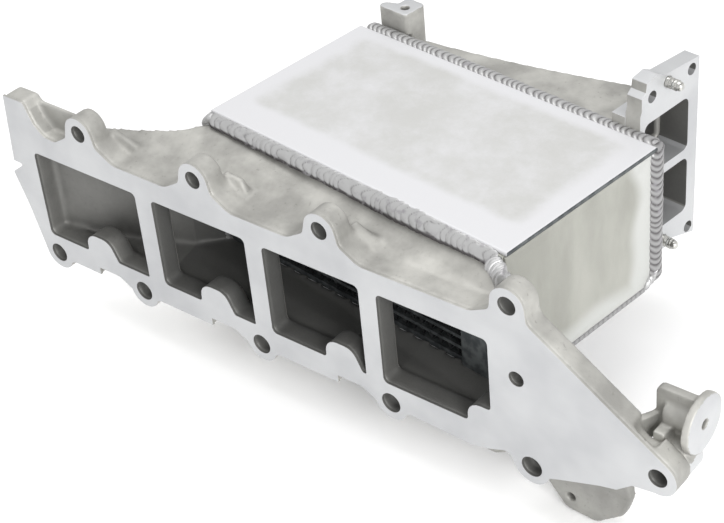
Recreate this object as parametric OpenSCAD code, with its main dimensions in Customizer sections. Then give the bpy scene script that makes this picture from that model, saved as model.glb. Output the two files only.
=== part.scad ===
// Four-port intake manifold with a water-cooled charge air cooler welded between
// a head-side casting and an air inlet casting. All lengths are in millimetres.
// Frame: the head face is the plane y = 0 and faces -Y, +X runs along the head,
// +Z is up, and the origin is the middle of the web between ports 2 and 3.

/* [Head flange] */
// Thickness of the head flange
flange_t = 13.5; // [12:0.5:16]
// Height of the flange's top edge between its bolt bosses
flange_top = 39.5; // [37:0.5:41]
// Height of the flange's bottom edge between its bolt bosses
flange_bottom = -39.7; // [-41:0.1:-38]
// Height of the lower ledge beside each bottom boss
ledge_z = -44.4; // [-46:0.1:-43]
// Top of the ports
port_top = 26.3; // [22:0.1:30]
// Bottom of the ports
port_bottom = -29.6; // [-32:0.1:-26]
// Top of the half-round humps in the ports
hump_top = -17.3; // [-22:0.1:-14]
// Width of the half-round humps
hump_w = 21; // [16:0.5:24]
// Distance between two cylinders of the engine
cylinder_pitch = 88; // [87:0.5:89]
// Distance between the three left-hand top bolt holes
top_pitch = 85; // [84:0.5:86]
// Height of the top bolt holes
top_hole_z = 52; // [50:0.5:53]
// Height of the bottom bolt holes
bottom_hole_z = -42; // [-43:0.5:-41]
// Diameter of the top bolt holes
top_hole_d = 10; // [8:0.5:11]
// Diameter of the counterbores in the bottom bolt holes
counterbore_d = 11.7; // [11:0.1:12.5]
// Depth of the counterbores
counterbore_depth = 7.5; // [5:0.5:9]
// Diameter of the bottom bolt holes behind their counterbores
bottom_hole_d = 8.5; // [7:0.5:9.5]
// Radius of the bolt bosses
boss_r = 9.8; // [9:0.1:10.4]

/* [Outlet plenum] */
// Wall of the cast plenum behind the flange
plenum_wall = 4; // [3:0.5:5]
// Height of the plenum's roof where it meets the cooler, at the left
roof_left_z = 49; // [46:0.5:50]
// Height of the plenum's roof where it meets the cooler, at the right
roof_right_z = 46; // [44:0.5:49]

/* [Charge air cooler] */
// Turn of the cooler about the vertical, against the head flange
box_yaw = -6.3; // [-7:0.1:-5.5]
// Width of the cooler
box_w = 208; // [200:1:210]
// Depth of the cooler along the air's path
box_d = 118.4; // [112:0.4:120]
// Top of the cooler
box_top = 57.8; // [57:0.2:59]
// Bottom of the cooler
box_bottom = -30; // [-31:0.5:-29]
// Thickness of the top and bottom plates
plate_t = 2.5; // [2:0.5:3]
// Width of the coolant tank at each side
tank_w = 31; // [26:1:36]
// Wall of the coolant tanks
tank_wall = 3; // [2:0.5:4]
// Number of coolant tubes
tubes = 11; // [9:1:11]
// Height of a coolant tube
tube_h = 2; // [1.6:0.1:2.4]
// Height of a row of air fins
fin_h = 4.65; // [4:0.05:4.8]
// Distance between two folds of the fins
fin_pitch = 3.2; // [2.8:0.1:4]
// Thickness of the fin sheet
fin_t = 0.3; // [0.2:0.05:0.4]

/* [Air inlet] */
// Thickness of the inlet flange
inlet_t = 9.5; // [8:0.5:12]
// Diameter of the four tapped holes in the inlet flange
inlet_hole_d = 6.8; // [5:0.1:7.6]
// Diameter of the dowel pins
dowel_d = 6; // [5:0.5:6]
// Length of a dowel pin outside the inlet flange
dowel_out = 9.5; // [6:0.5:12]

/* [Brackets and coolant] */
// Diameter of the round pad on the end bracket
pad_d = 31; // [28:0.5:32]
// Diameter of the tapped holes in the pad and the lugs
tapped_d = 5; // [4:0.1:6]
// Outside diameter of the coolant spigots
spigot_d = 19; // [16:0.5:22]
// Length of the coolant spigots
spigot_l = 24; // [18:1:26]

/* [Hidden] */
$fn = 64;
EPS = 0.1;
CAST = [0.78, 0.77, 0.74];
MACHINED = [0.87, 0.87, 0.87];
SHEET = [0.93, 0.93, 0.92];
WELD = [0.62, 0.59, 0.6];
CORE = [0.3, 0.31, 0.32];
STEEL = [0.7, 0.7, 0.7];

// Bolt holes, by their distance along the head
top_holes = [-122.5, -122.5 + top_pitch, -122.5 + 2 * top_pitch, 159.5];
bottom_holes = [-161, -92, -92 + cylinder_pitch, -92 + 2 * cylinder_pitch, 170.5];
// Right-hand end of the ledge beside each bottom boss
ledge_ends = [-127, -40, 49, 134.6];
end_hole = [240.4, -13.6];
side_hole = [163.3, 10.1];
side_hole_d = 8.5;
end_boss_r = 10;
humps = [-122.8, -122.8 + cylinder_pitch, -122.8 + 2 * cylinder_pitch, 143.6];
ports = [[-164.4, -85.3], [-73.1, -6.3], [5.7, 69.1], [80.4, 147.2]];
lug_top = 58.6;
pocket_depth = 10;
// Bends of the plenum's left-hand wall
left_bend = [[-114, 29], [-82, 38.5]];

// Cooler, in its own turned frame
box_x0 = -73;
box_x1 = box_x0 + box_w;
box_y0 = 41.4;
box_y1 = box_y0 + box_d;
core_x0 = box_x0 + tank_w;
core_x1 = box_x1 - tank_w;
core_y0 = box_y0 + 2.6;
core_y1 = box_y1 - 2.6;
header_t = 2;
layer = fin_h + tube_h;
core_z0 = box_bottom + 6;
core_z1 = core_z0 + (tubes + 1) * fin_h + tubes * tube_h;
cover_z = box_top - plate_t;
cover_edge = 1.5;
overhang = 2;

// Coolant spigots on the left-hand side, by depth and height in the cooler's frame
spigot_at = [[70, -8], [126, -8]];

// Air inlet, in the cooler's frame
rim_t = 4;
tank_back = [165, 207];
lug_x = [-61, -47];
inlet_face = 121.3;
inlet_back = inlet_face - inlet_t;
collar_x0 = 103;
windows = [[-12.5, 21.5], [27, 59]];
window_y = [168, 205];
inlet_holes = [[174, 73.8], [207.3, 74.4], [172, -22.4], [207.3, -25.6]];
dowel_at = [[187, 76.5], [184.8, -22]];
dowel_in = 7;
// Neck of a dowel pin, and the wider mouth of its hole
neck_d = dowel_d - 1;
neck_out = 0.3;
mouth_d = dowel_d + 1;
mouth_t = 0.5;

// Front of the pocket behind the flange's slope
scoop_y = 4;

// End bracket
web_y = 25;
web_t = 5;
hub_z = 5.5;
pad_x = 250;
pad_t = 4;
hub_d = 14;
hub_l = 19;

// Points of an arc about a centre, as corners that need no more rounding
function arc(cx, cz, r, a0, a1, n = 12) =
    [for (i = [0:n])
        let (a = a0 + (a1 - a0) * i / n)
        [cx + r * cos(a), cz + r * sin(a), 0]];

// The unit vector along v
function along(v) = v / norm(v);

// One corner q between the points p and s, rounded to the radius q[2]
function corner(p, q, s, n = 5) =
    q[2] == 0 ? [[q.x, q.y]] :
    let (
        to_p = along([p.x - q.x, p.y - q.y]),
        to_s = along([s.x - q.x, s.y - q.y]),
        half = acos(to_p * to_s) / 2,
        middle = [q.x, q.y] + along(to_p + to_s) * q[2] / sin(half),
        from = [q.x, q.y] + to_p * q[2] / tan(half) - middle,
        to = [q.x, q.y] + to_s * q[2] / tan(half) - middle,
        a0 = atan2(from.y, from.x),
        turn = (atan2(to.y, to.x) - a0 + 540) % 360 - 180)
    [for (i = [0:n]) middle + q[2] * [cos(a0 + turn * i / n), sin(a0 + turn * i / n)]];

// A closed path of [x, y, radius] corners as plain points
function rounded(path) =
    let (n = len(path))
    [for (i = [0:n - 1]) each corner(path[(i + n - 1) % n], path[i], path[(i + 1) % n])];

// Flank, arc and flank of a top boss, from left to right
function top_boss(x) = concat(
    [[x - 23, flange_top, 12], [x - 11.5, flange_top + 7, 4]],
    arc(x, top_hole_z, boss_r, 165, 15),
    [[x + 11.5, flange_top + 7, 4], [x + 23, flange_top, 12]]);

// Arc of a bottom boss with its left flank, from right to left
function bottom_boss(x) = concat(
    [[x + 12.5, ledge_z, 3]],
    arc(x, bottom_hole_z, boss_r + 0.7, -20, -165),
    [[x - 19, flange_bottom, 8]]);

// Step up from the ledge beside one boss to the edge before the next
function ledge_step(x) = [[x, flange_bottom, 0], [x, ledge_z, 0]];

function flange_outline() = concat(
    // Left-hand lug, pocket and the first top boss
    [[-181, lug_top, 0], [-165.3, lug_top, 2], [-159.5, 45.9, 3], [-152.8, 40.2, 5],
     [-144, 39.6, 6], [-134, 45.9, 4]],
    arc(top_holes[0], top_hole_z, boss_r, 165, 15),
    [[top_holes[0] + 11.5, flange_top + 7, 4], [top_holes[0] + 23, flange_top, 12]],
    top_boss(top_holes[1]),
    top_boss(top_holes[2]),
    // Last top boss and the long slope to the end boss
    [[top_holes[3] - 22, flange_top + 0.8, 10], [top_holes[3] - 10.5, flange_top + 6.5, 4]],
    arc(top_holes[3], top_hole_z, boss_r, 165, 5),
    [[top_holes[3] + 10.5, 45.2, 5]],
    arc(end_hole.x, end_hole.y, end_boss_r, 56, -98),
    // Bottom edge from the end boss back to the left
    [[226.9, -25.2, 3], [218.3, -32.2, 3], [209.4, -34.4, 6], [186.7, -42.3, 5]],
    arc(bottom_holes[4], bottom_hole_z, boss_r + 0.7, -15, -165),
    [[bottom_holes[4] - 12.2, -40.5, 3], [bottom_holes[4] - 16, -39.3, 4],
     [bottom_holes[4] - 25, -42.9, 8], [ledge_ends[3], ledge_z - 1.2, 6]],
    [for (i = [3:-1:1]) each concat(bottom_boss(bottom_holes[i]), ledge_step(ledge_ends[i - 1]))],
    [[bottom_holes[0] + 12.5, ledge_z, 3]],
    arc(bottom_holes[0], bottom_hole_z, boss_r + 0.7, -20, -175),
    // Slanting left-hand end with its small notch
    [[-179, -15, 12], [-186.6, 6, 0], [-175.9, 14.1, 1], [-184.2, 14.3, 0]]);

// One port: a rounded rectangle with a half-round hump in its floor
function port_outline(port, hump) =
    let (
        x0 = port[0],
        x1 = port[1],
        hump_x0 = hump - hump_w / 2,
        hump_x1 = hump + hump_w / 2)
    concat(
        [[x0, port_bottom, 3], [x0, port_top, 3], [x1, port_top, 3]],
        hump_x1 > x1 ? [[x1, hump_top, 2]] :
            [[x1, port_bottom, 1], [hump_x1 + 3, port_bottom, 2], [hump_x1 - 3, hump_top, 8]],
        [[hump_x0, hump_top, 8], [hump_x0, port_bottom, 2]]);

// Stands a drawing in X and Z up behind the plane y, with a thickness along +Y
module upright(y, t) {
    translate([0, y + t, 0])
        rotate([90, 0, 0])
            linear_extrude(t)
                children();
}

// A round bar or hole along +Y from the plane y
module bar_y(at, y, l, d) {
    translate([at.x, y, at.y])
        rotate([-90, 0, 0])
            cylinder(d = d, h = l);
}

// A round bar or hole along +X from the plane x
module bar_x(x, at, l, d) {
    translate([x, at.x, at.y])
        rotate([0, 90, 0])
            cylinder(d = d, h = l);
}

// A block between two opposite corners
module block(low, high) {
    translate(low)
        cube(high - low);
}

// Turns the cooler's own frame into the head face's frame
module cooler_frame() {
    rotate([0, 0, box_yaw])
        children();
}

module head_flange() {
    color(MACHINED)
        difference() {
            union() {
                upright(0, flange_t)
                    difference() {
                        polygon(rounded(flange_outline()));
                        for (i = [0:3])
                            polygon(rounded(port_outline(ports[i], humps[i])));
                    }
                // Thin wall that closes the pocket beside the first boss from behind
                upright(pocket_depth, flange_t - pocket_depth)
                    polygon([[-170, 35], [-168, lug_top - 2], [-162, 54.5],
                             [top_holes[0] - 5, top_hole_z + 2], [top_holes[0] - 8, 35]]);
            }
            for (x = top_holes)
                bar_y([x, top_hole_z], -EPS, flange_t + 2 * EPS, top_hole_d);
            for (x = bottom_holes) {
                bar_y([x, bottom_hole_z], -EPS, flange_t + 2 * EPS, bottom_hole_d);
                bar_y([x, bottom_hole_z], -EPS, counterbore_depth + EPS, counterbore_d);
            }
            bar_y(end_hole, -EPS, flange_t + 2 * EPS, top_hole_d);
            bar_y(side_hole, -EPS, flange_t + 2 * EPS, side_hole_d);
            // Pocket behind the slope, beside the end bracket's arm
            upright(scoop_y, flange_t)
                polygon([[224.5, 16], [238, 8], [236, -3], [229, -3], [224.5, 1]]);
        }
}

// A point of the cooler's frame in the head face's frame
function from_cooler(x, y) =
    [x * cos(box_yaw) - y * sin(box_yaw), x * sin(box_yaw) + y * cos(box_yaw)];

// The plenum as a block, drawn in by a margin for its inside: its plan has a
// bent left-hand wall, and its roof rises from the flange to the cooler
module plenum_block(m, reach) {
    front_y = flange_t - reach;
    left_x = ports[0][0] - plenum_wall + m;
    right_x = ports[3][1] + 2 * plenum_wall - m;
    plan = [
        [left_x, front_y], [right_x, front_y],
        from_cooler(box_x1 - m, box_y0 + reach), from_cooler(box_x0 + m, box_y0 + reach),
        [left_bend[1].x + 0.4 * m, left_bend[1].y - m], [left_bend[0].x + 0.4 * m, left_bend[0].y - m]];
    roof = [flange_top, flange_top, roof_right_z, roof_left_z, 48, 43];
    front_z = port_bottom - plenum_wall - 2.5 + m;
    back_z = box_bottom + m;
    floor_z = [front_z, front_z, back_z, back_z, back_z, back_z - 2];
    n = len(plan);
    polyhedron(
        points = concat(
            [for (i = [0:n - 1]) [plan[i].x, plan[i].y, floor_z[i]]],
            [for (i = [0:n - 1]) [plan[i].x, plan[i].y, roof[i] - m]]),
        faces = concat(
            // Floor and roof as fans about the right-hand front corner
            [for (i = [2:n - 1]) [1, i, (i + 1) % n]],
            [for (i = [2:n - 1]) [n + 1, n + (i + 1) % n, n + i]],
            // Two triangles for each wall
            [for (i = [0:n - 1]) [i, n + (i + 1) % n, (i + 1) % n]],
            [for (i = [0:n - 1]) [i, n + i, n + (i + 1) % n]]));
}

module outlet_plenum() {
    color(CAST)
        difference() {
            plenum_block(0, 0);
            plenum_block(plenum_wall, EPS);
        }
}

// Bracket behind the flange's right-hand end, with a round pad that faces +X
module end_bracket() {
    color(CAST)
        difference() {
            union() {
                upright(web_y - web_t / 2, web_t)
                    polygon(rounded([[225.5, 19, 3], [247, 19, 1], [247, -14, 2], [243.5, -30, 8],
                                     [229, -27, 4], [225.5, -8, 3]]));
                bar_x(pad_x - hub_l, [web_y, hub_z], hub_l, hub_d);
                bar_x(pad_x - pad_t, [web_y, hub_z], pad_t, pad_d);
                // Arm and end boss that carry the bracket on the flange's back
                block([230, flange_t, -24], [236, web_y, 1]);
                bar_y(end_hole, flange_t, web_y - flange_t, 2 * end_boss_r - 1);
                // Rib between the flange and the web's left-hand end
                translate([0, 0, -10])
                    linear_extrude(14)
                        polygon([[218.5, flange_t], [223, flange_t], [229, web_y], [225.5, web_y]]);
            }
            bar_y(end_hole, flange_t - EPS, web_y - flange_t + web_t, top_hole_d);
            bar_x(pad_x - 14, [web_y, hub_z], 14 + EPS, tapped_d);
        }
}

// Lug that hangs below the flange's back, with a tapped hole that faces -Y
module lower_lug() {
    plate = 4.5;
    core = 9;
    inset = 7;
    hole = [184.1, -65.3];
    color(CAST)
        difference() {
            union() {
                upright(flange_t, plate)
                    lug_outline();
                upright(flange_t, plate + core)
                    offset(delta = -inset)
                        lug_outline();
                bar_y(hole, flange_t, plate + core, 12);
            }
            bar_y(hole, flange_t - EPS, 10, tapped_d);
        }
}

module lug_outline() {
    polygon(rounded([[160, -36, 2], [214, -32, 2], [218.6, -49, 8], [214.5, -62, 10],
                     [199, -74.5, 6], [181, -73.4, 4], [170, -60, 6]]));
}

// Small lug that hangs below the flange's back under the last port
module small_lug() {
    color(CAST)
        upright(flange_t, 6)
            polygon(rounded([[121, -37, 1], [124, -55, 3], [129, -58.4, 3], [139, -59, 4],
                             [146, -55, 4], [150, -37, 1]]));
}

module top_plate() {
    color(SHEET)
        cooler_frame()
            block([box_x0 - overhang, box_y0 + cover_edge, cover_z],
                  [box_x1 + overhang, box_y1 - cover_edge, box_top]);
}

module bottom_plate() {
    color(SHEET)
        cooler_frame()
            block([box_x0, box_y0, box_bottom], [box_x1, box_y1, box_bottom + plate_t]);
}

// U-shaped wall of a coolant tank: its outer side faces +X
module tank_shell() {
    z0 = box_bottom + plate_t;
    difference() {
        block([core_x1, box_y0, z0], [box_x1, box_y1, cover_z]);
        block([core_x1 - EPS, box_y0 + tank_wall, z0 - EPS],
              [box_x1 - tank_wall, box_y1 - tank_wall, cover_z + EPS]);
    }
}

module right_coolant_tank() {
    color(SHEET)
        cooler_frame()
            tank_shell();
}

module left_coolant_tank() {
    color(SHEET)
        cooler_frame()
            difference() {
                translate([box_x0 + box_x1, 0, 0])
                    mirror([1, 0, 0])
                        tank_shell();
                for (at = spigot_at)
                    bar_x(box_x0 - EPS, at, tank_wall + 2 * EPS, spigot_d);
            }
}

// Lowest corner of tube number i
function tube_z(i) = core_z0 + i * layer - tube_h;

// Header plate with one slot for each tube, from the plane x
module header_plate(x) {
    difference() {
        block([x, box_y0 + tank_wall, box_bottom + plate_t],
              [x + header_t, box_y1 - tank_wall, cover_z]);
        for (i = [1:tubes])
            block([x - EPS, core_y0 + 4, tube_z(i)],
                  [x + header_t + EPS, core_y1 - 4, tube_z(i) + tube_h]);
    }
}

module right_header_plate() {
    color(SHEET)
        cooler_frame()
            header_plate(core_x1);
}

module left_header_plate() {
    color(SHEET)
        cooler_frame()
            header_plate(core_x0 - header_t);
}

module core_floor_bar() {
    color(SHEET)
        cooler_frame()
            block([core_x0, core_y0, box_bottom + plate_t], [core_x1, core_y1, core_z0]);
}

module core_roof_bar() {
    color(SHEET)
        cooler_frame()
            block([core_x0, core_y0, core_z1], [core_x1, core_y1, cover_z]);
}

// Flat coolant tube number i, which passes through both header plates
module tube(i) {
    wall = 0.4;
    y0 = core_y0 + 4;
    y1 = core_y1 - 4;
    color(CORE)
        cooler_frame()
            difference() {
                union() {
                    block([core_x0 - header_t, y0, tube_z(i)],
                          [core_x1 + header_t, y1, tube_z(i) + tube_h]);
                    block([core_x0, core_y0, tube_z(i)], [core_x1, core_y1, tube_z(i) + tube_h]);
                }
                block([core_x0 - header_t - EPS, y0 + wall, tube_z(i) + wall],
                      [core_x1 + header_t + EPS, y1 - wall, tube_z(i) + tube_h - wall]);
            }
}

// Row number i of air fins: one folded sheet whose channels run along Y
module fin_row(i) {
    z = core_z0 + (i - 1) * layer;
    folds = floor((core_x1 - core_x0 - 2) / fin_pitch);
    x0 = (core_x0 + core_x1 - folds * fin_pitch) / 2;
    lower = [for (k = [0:folds]) [x0 + k * fin_pitch, (k % 2) * (fin_h - fin_t)]];
    upper = [for (k = [folds:-1:0]) [x0 + k * fin_pitch, (k % 2) * (fin_h - fin_t) + fin_t]];
    color(CORE)
        cooler_frame()
            translate([0, 0, z])
                upright(core_y0 + 1, core_y1 - core_y0 - 2)
                    polygon(concat(lower, upper));
}

// Rounded bead of weld that fills the corner above the plenum's roof
module front_top_weld() {
    color(WELD)
        difference() {
            cooler_frame()
                translate([box_x0 + 1, 0, 0])
                    rotate([90, 0, 90])
                        linear_extrude(box_w)
                            polygon([[box_y0, 40], [box_y0, cover_z],
                                     [box_y0 + cover_edge, cover_z],
                                     [box_y0 + cover_edge, box_top + 0.4],
                                     [box_y0 - 0.4, box_top + 0.2], [box_y0 - 3.4, 55.4],
                                     [box_y0 - 5.6, 51.6], [box_y0 - 6.4, 47.6],
                                     [box_y0 - 6.4, 40]]);
            plenum_block(0, 0);
            // Everything below the roof's own slope is cut away
            translate([0, 0, -8.5])
                plenum_block(0, 3);
        }
}

module front_bottom_weld() {
    color(WELD)
        cooler_frame()
            translate([box_x0 + 2, 0, 0])
                rotate([90, 0, 90])
                    linear_extrude(box_w - 4)
                        polygon([[box_y0, box_bottom], [box_y0 + 4, box_bottom],
                                 [box_y0 + 3, box_bottom - 1.2], [box_y0 + 0.8, box_bottom - 1.4]]);
}

// Upright bead in the corner between the plenum and a side of the cooler
module front_side_weld() {
    translate([0, 0, box_bottom + 2])
        linear_extrude(roof_right_z - box_bottom - 2)
            polygon([[0, 0], [0, 6], [1.6, 5.4], [3, 3.4], [3.6, 1], [3.5, -2.1]]);
}

module front_right_weld() {
    color(WELD)
        cooler_frame()
            translate([box_x1, box_y0, 0])
                front_side_weld();
}

module front_left_weld() {
    color(WELD)
        cooler_frame()
            translate([box_x0, box_y0, 0])
                mirror([1, 0, 0])
                    front_side_weld();
}

module rear_top_weld() {
    color(WELD)
        cooler_frame()
            difference() {
                translate([box_x0, 0, 0])
                    rotate([90, 0, 90])
                        linear_extrude(box_w)
                            polygon([[box_y1 - cover_edge, cover_z], [box_y1 + 7, cover_z],
                                     [box_y1 + 6, 57.2], [box_y1 + 3, 58.6], [box_y1, 58.7],
                                     [box_y1 - cover_edge, box_top]]);
                // Room in front of the inlet flange's face
                block([inlet_face - EPS, box_y1 + rim_t, cover_z - 1],
                      [box_x1 + 1, box_y1 + 8, box_top + 2]);
            }
}

module rear_bottom_weld() {
    color(WELD)
        cooler_frame()
            translate([box_x0 + 2, 0, 0])
                rotate([90, 0, 90])
                    linear_extrude(box_w - 4)
                        polygon([[box_y1 - 3, box_bottom], [box_y1 + 3, box_bottom],
                                 [box_y1 + 2, box_bottom - 1.2], [box_y1 - 2, box_bottom - 1.2]]);
}

// Upright bead over the joint between a side of the cooler and the inlet tank
module rear_side_weld() {
    translate([0, 0, box_bottom + 6])
        linear_extrude(cover_z - box_bottom - 6)
            polygon([[0, -5], [0, rim_t], [1, rim_t], [2.2, 2.6], [2.6, -0.4], [1.8, -3.4]]);
}

module rear_right_weld() {
    color(WELD)
        cooler_frame()
            translate([box_x1, box_y1, 0])
                rear_side_weld();
}

module rear_left_weld() {
    color(WELD)
        cooler_frame()
            translate([box_x0, box_y1, 0])
                mirror([1, 0, 0])
                    rear_side_weld();
}

// Distance of the inlet tank's slanting back from the head, at x
function tank_rear(x) =
    tank_back[0] + (x - box_x0) * (tank_back[1] - tank_back[0]) / (collar_x0 - box_x0);

// Plan of the wedge-shaped inlet tank, drawn in by a wall
function tank_plan(m) =
    let (front = box_y1 + (m > 0 ? -EPS : rim_t))
    [[box_x0 + m, front], [collar_x0 - m, front],
     [collar_x0 - m, tank_back[1] - m], [box_x0 + m, tank_back[0] - m]];

// Cast tank that spreads the air over the cooler's back
module inlet_tank() {
    color(CAST)
        cooler_frame()
            difference() {
                union() {
                    block([box_x0, box_y1, box_bottom], [box_x1, box_y1 + rim_t, cover_z]);
                    translate([0, 0, box_bottom])
                        linear_extrude(cover_z - box_bottom)
                            polygon(tank_plan(0));
                }
                translate([0, 0, box_bottom + plenum_wall])
                    linear_extrude(cover_z - box_bottom - 2 * plenum_wall)
                        polygon(tank_plan(plenum_wall));
                // Air way through the tank's right-hand wall to both windows
                for (w = windows)
                    block([collar_x0 - 2 * plenum_wall, window_y[0], w[0]],
                          [collar_x0 + EPS, window_y[1] - 2, min(w[1], cover_z - plenum_wall)]);
            }
}

// Rectangular flange for the air supply, which faces the cooler's +X
module inlet_flange() {
    color(MACHINED)
        cooler_frame()
            difference() {
                union() {
                    translate([inlet_back, 0, 0])
                        rotate([90, 0, 90])
                            linear_extrude(inlet_t)
                                polygon(rounded([[213.8, 79.6, 0.5], [184, 82, 1], [178.5, 85, 1],
                                                 [169.5, 83.8, 1], [168.6, 78.6, 0], [165.4, 76, 0],
                                                 [165.4, 68.8, 0], [164.2, 66, 0], [164.2, -28, 2],
                                                 [188.2, -28, 2], [188.6, -24, 0], [191.4, -24.7, 0],
                                                 [212.5, -31.6, 1]]));
                    // Collar between the flange and the tank
                    block([collar_x0, box_y1 + rim_t, -17], [inlet_back, 209, 63]);
                }
                for (w = windows)
                    translate([collar_x0 - EPS, 0, 0])
                        rotate([90, 0, 90])
                            linear_extrude(inlet_face - collar_x0 + 2 * EPS)
                                polygon(rounded([[window_y[0], w[0], 4], [window_y[1], w[0], 4],
                                                 [window_y[1], w[1], 4], [window_y[0], w[1], 4]]));
                for (at = inlet_holes)
                    bar_x(inlet_back - EPS, at, inlet_t + 2 * EPS, inlet_hole_d);
                for (at = dowel_at) {
                    bar_x(inlet_face - dowel_in, at, dowel_in + EPS, neck_d);
                    bar_x(inlet_face - mouth_t, at, mouth_t + EPS, mouth_d);
                }
            }
}

// Dowel pin with a necked root and a chamfered tip
module dowel(at) {
    tip = 1.2;
    root = dowel_in + neck_out;
    l = dowel_in + dowel_out;
    color(STEEL)
        cooler_frame()
            translate([inlet_face - dowel_in, at.x, at.y])
                rotate([0, 90, 0])
                    rotate_extrude()
                        polygon([[0, 0], [neck_d / 2, 0], [neck_d / 2, root], [dowel_d / 2, root],
                                 [dowel_d / 2, l - tip], [dowel_d / 2 - tip, l], [0, l]]);
}

module upper_dowel() {
    dowel(dowel_at[0]);
}

module lower_dowel() {
    dowel(dowel_at[1]);
}

// Column behind the tank's left-hand end, with an upright tapped hole and an ear
module tapped_lug() {
    top_z = 68.5;
    z0 = -10;
    color(CAST)
        cooler_frame()
            difference() {
                union() {
                    translate([0, 0, z0])
                        linear_extrude(top_z - z0)
                            polygon(rounded([[lug_x[0], tank_rear(lug_x[0]), 0],
                                             [lug_x[1], tank_rear(lug_x[1]), 0],
                                             [lug_x[1], 184, 3], [lug_x[0], 184, 4]]));
                    translate([0, 0, cover_z])
                        linear_extrude(top_z - cover_z)
                            polygon(rounded([[lug_x[1], 167.2, 2], [lug_x[1], 175, 0],
                                             [lug_x[0], 176, 0], [-69.5, 172.5, 3.5],
                                             [-68.5, 167.2, 3]]));
                }
                translate([-54, 174.2, top_z - 14])
                    cylinder(d = tapped_d, h = 14 + EPS);
            }
}

// Beaded hose spigot on the left-hand coolant tank
module spigot(at) {
    bore_d = spigot_d - 4;
    color(SHEET)
        cooler_frame()
            translate([box_x0 + tank_wall, at.x, at.y])
                rotate([0, -90, 0])
                    difference() {
                        union() {
                            cylinder(d = spigot_d, h = spigot_l + tank_wall);
                            translate([0, 0, spigot_l - 3])
                                cylinder(d = spigot_d + 2, h = 3);
                        }
                        translate([0, 0, -EPS])
                            cylinder(d = bore_d, h = spigot_l + tank_wall + 2 * EPS);
                    }
}

module coolant_in_spigot() {
    spigot(spigot_at[0]);
}

module coolant_out_spigot() {
    spigot(spigot_at[1]);
}

module spigot_welds() {
    bead = 2.5;
    color(WELD)
        cooler_frame()
            for (at = spigot_at)
                translate([box_x0, at.x, at.y])
                    rotate([0, -90, 0])
                        rotate_extrude()
                            polygon([[spigot_d / 2, 0], [spigot_d / 2 + bead, 0],
                                     [spigot_d / 2 + 1.4, 1.6], [spigot_d / 2, bead]]);
}

head_flange();
outlet_plenum();
end_bracket();
lower_lug();
small_lug();
top_plate();
bottom_plate();
right_coolant_tank();
left_coolant_tank();
right_header_plate();
left_header_plate();
core_floor_bar();
core_roof_bar();
front_top_weld();
front_bottom_weld();
front_right_weld();
front_left_weld();
rear_top_weld();
rear_bottom_weld();
rear_right_weld();
rear_left_weld();
inlet_tank();
inlet_flange();
tapped_lug();
upper_dowel();
lower_dowel();
coolant_in_spigot();
coolant_out_spigot();
spigot_welds();
for (i = [1:tubes])
    tube(i);
for (i = [1:tubes + 1])
    fin_row(i);
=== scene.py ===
"""Intake manifold with a built-in charge air cooler: castings, sheet, welds, core and stage.

Lengths inside the functions are millimetres. Meshes are written in metres.
"""

import math

import bmesh
import bpy
import numpy as np
from bpy.props import FloatProperty, FloatVectorProperty, IntProperty, PointerProperty
from mathutils import Matrix, Vector


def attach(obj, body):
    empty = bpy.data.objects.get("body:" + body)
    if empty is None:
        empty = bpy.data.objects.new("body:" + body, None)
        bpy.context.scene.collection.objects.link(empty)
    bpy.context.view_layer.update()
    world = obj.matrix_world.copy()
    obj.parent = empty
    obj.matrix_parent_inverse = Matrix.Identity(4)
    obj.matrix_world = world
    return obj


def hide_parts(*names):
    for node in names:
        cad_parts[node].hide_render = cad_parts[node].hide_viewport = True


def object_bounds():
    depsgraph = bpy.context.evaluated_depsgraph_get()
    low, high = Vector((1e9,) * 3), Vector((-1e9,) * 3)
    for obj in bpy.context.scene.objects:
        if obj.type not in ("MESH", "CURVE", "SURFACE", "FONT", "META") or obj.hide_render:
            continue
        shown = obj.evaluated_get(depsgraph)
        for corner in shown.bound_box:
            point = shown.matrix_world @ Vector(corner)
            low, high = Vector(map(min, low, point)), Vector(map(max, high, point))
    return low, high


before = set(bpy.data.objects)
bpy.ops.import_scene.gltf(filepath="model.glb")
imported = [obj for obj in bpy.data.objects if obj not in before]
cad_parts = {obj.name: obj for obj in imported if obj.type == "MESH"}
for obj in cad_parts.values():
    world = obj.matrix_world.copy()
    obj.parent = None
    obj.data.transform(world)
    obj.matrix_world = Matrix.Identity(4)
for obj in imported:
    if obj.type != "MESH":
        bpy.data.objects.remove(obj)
CAD_BOX = [list(corner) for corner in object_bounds()]

bl_info = {
    "name": "Intake manifold with charge air cooler",
    "version": (1, 0, 0),
    "blender": (4, 5, 0),
    "location": "View3D > Sidebar > Manifold",
    "description": "Builds the finished surfaces of an intake manifold and its stage",
    "category": "Object",
}

MM = 0.001
COOLER_YAW = math.radians(-6.3)
# Vertices this close are one, and faces within this angle are one flat face
SAME_PLACE = 0.005 * MM
SAME_PLANE = math.radians(0.3)
# Distance of the head flange's cast back from the head face
FLANGE_BACK = 13.5
# Smoothing rounds of the brackets and of the inlet castings
BRACKET_ROUNDS = 5
TANK_ROUNDS = 4
# Shares of painted shade, the air way's dark colour, on the wall of a machined hole and on the lower lug,
# which faces down under the flange
HOLE_SHADE = 0.75
LUG_SHADE = 0.4

# Rings of a bead's mesh in each ripple, and the power of the sine that rounds its crests
RINGS_PER_RIPPLE = 9
CREST_POWER = 0.55

# Ridges that run from the bosses down to the roof: both ends of the crest, width and depth
BOSS_TAILS = (
    ((-114, 17.0, 50), (-96, 18.5, 42.5), 7.0, 9.0),
    ((-31, 17.5, 50.5), (-19.5, 18.5, 48.0), 6.0, 10.0),
    ((-20.5, 18.5, 48.5), (-13.5, 17.5, 39.5), 5.5, 7.0),
    ((54, 17.5, 50), (72, 19.0, 41.5), 8.0, 9.0),
)

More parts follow.
